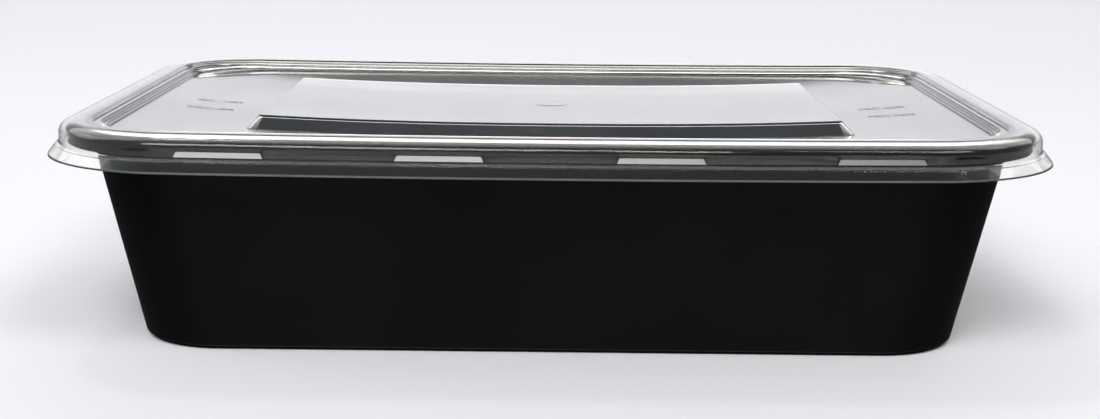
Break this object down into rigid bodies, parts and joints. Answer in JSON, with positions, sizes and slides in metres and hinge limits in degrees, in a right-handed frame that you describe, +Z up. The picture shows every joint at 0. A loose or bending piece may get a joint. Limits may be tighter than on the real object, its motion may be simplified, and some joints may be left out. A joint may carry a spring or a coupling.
{
  "type": "takeaway meal container",
  "caption": "Rectangular food container: a moulded tray with sloping walls and a flanged rim, shut with a clear snap-over lid that has a raised platform.",
  "frame": {"origin": "on the surface the tray stands on, at the middle of its base", "axes": "+X along the container's long side, +Z up, and the long side that the picture shows faces -Y"},
  "size_m": [0.172, 0.1194, 0.0394],
  "materials": {
    "tray": "black moulded polypropylene, satin",
    "lid": "clear moulded polypropylene, glossy and very slightly hazy"
  },
  "bodies": {
    "root": {"tray": "tray", "lid": "lid"}
  },
  "joints": []
}
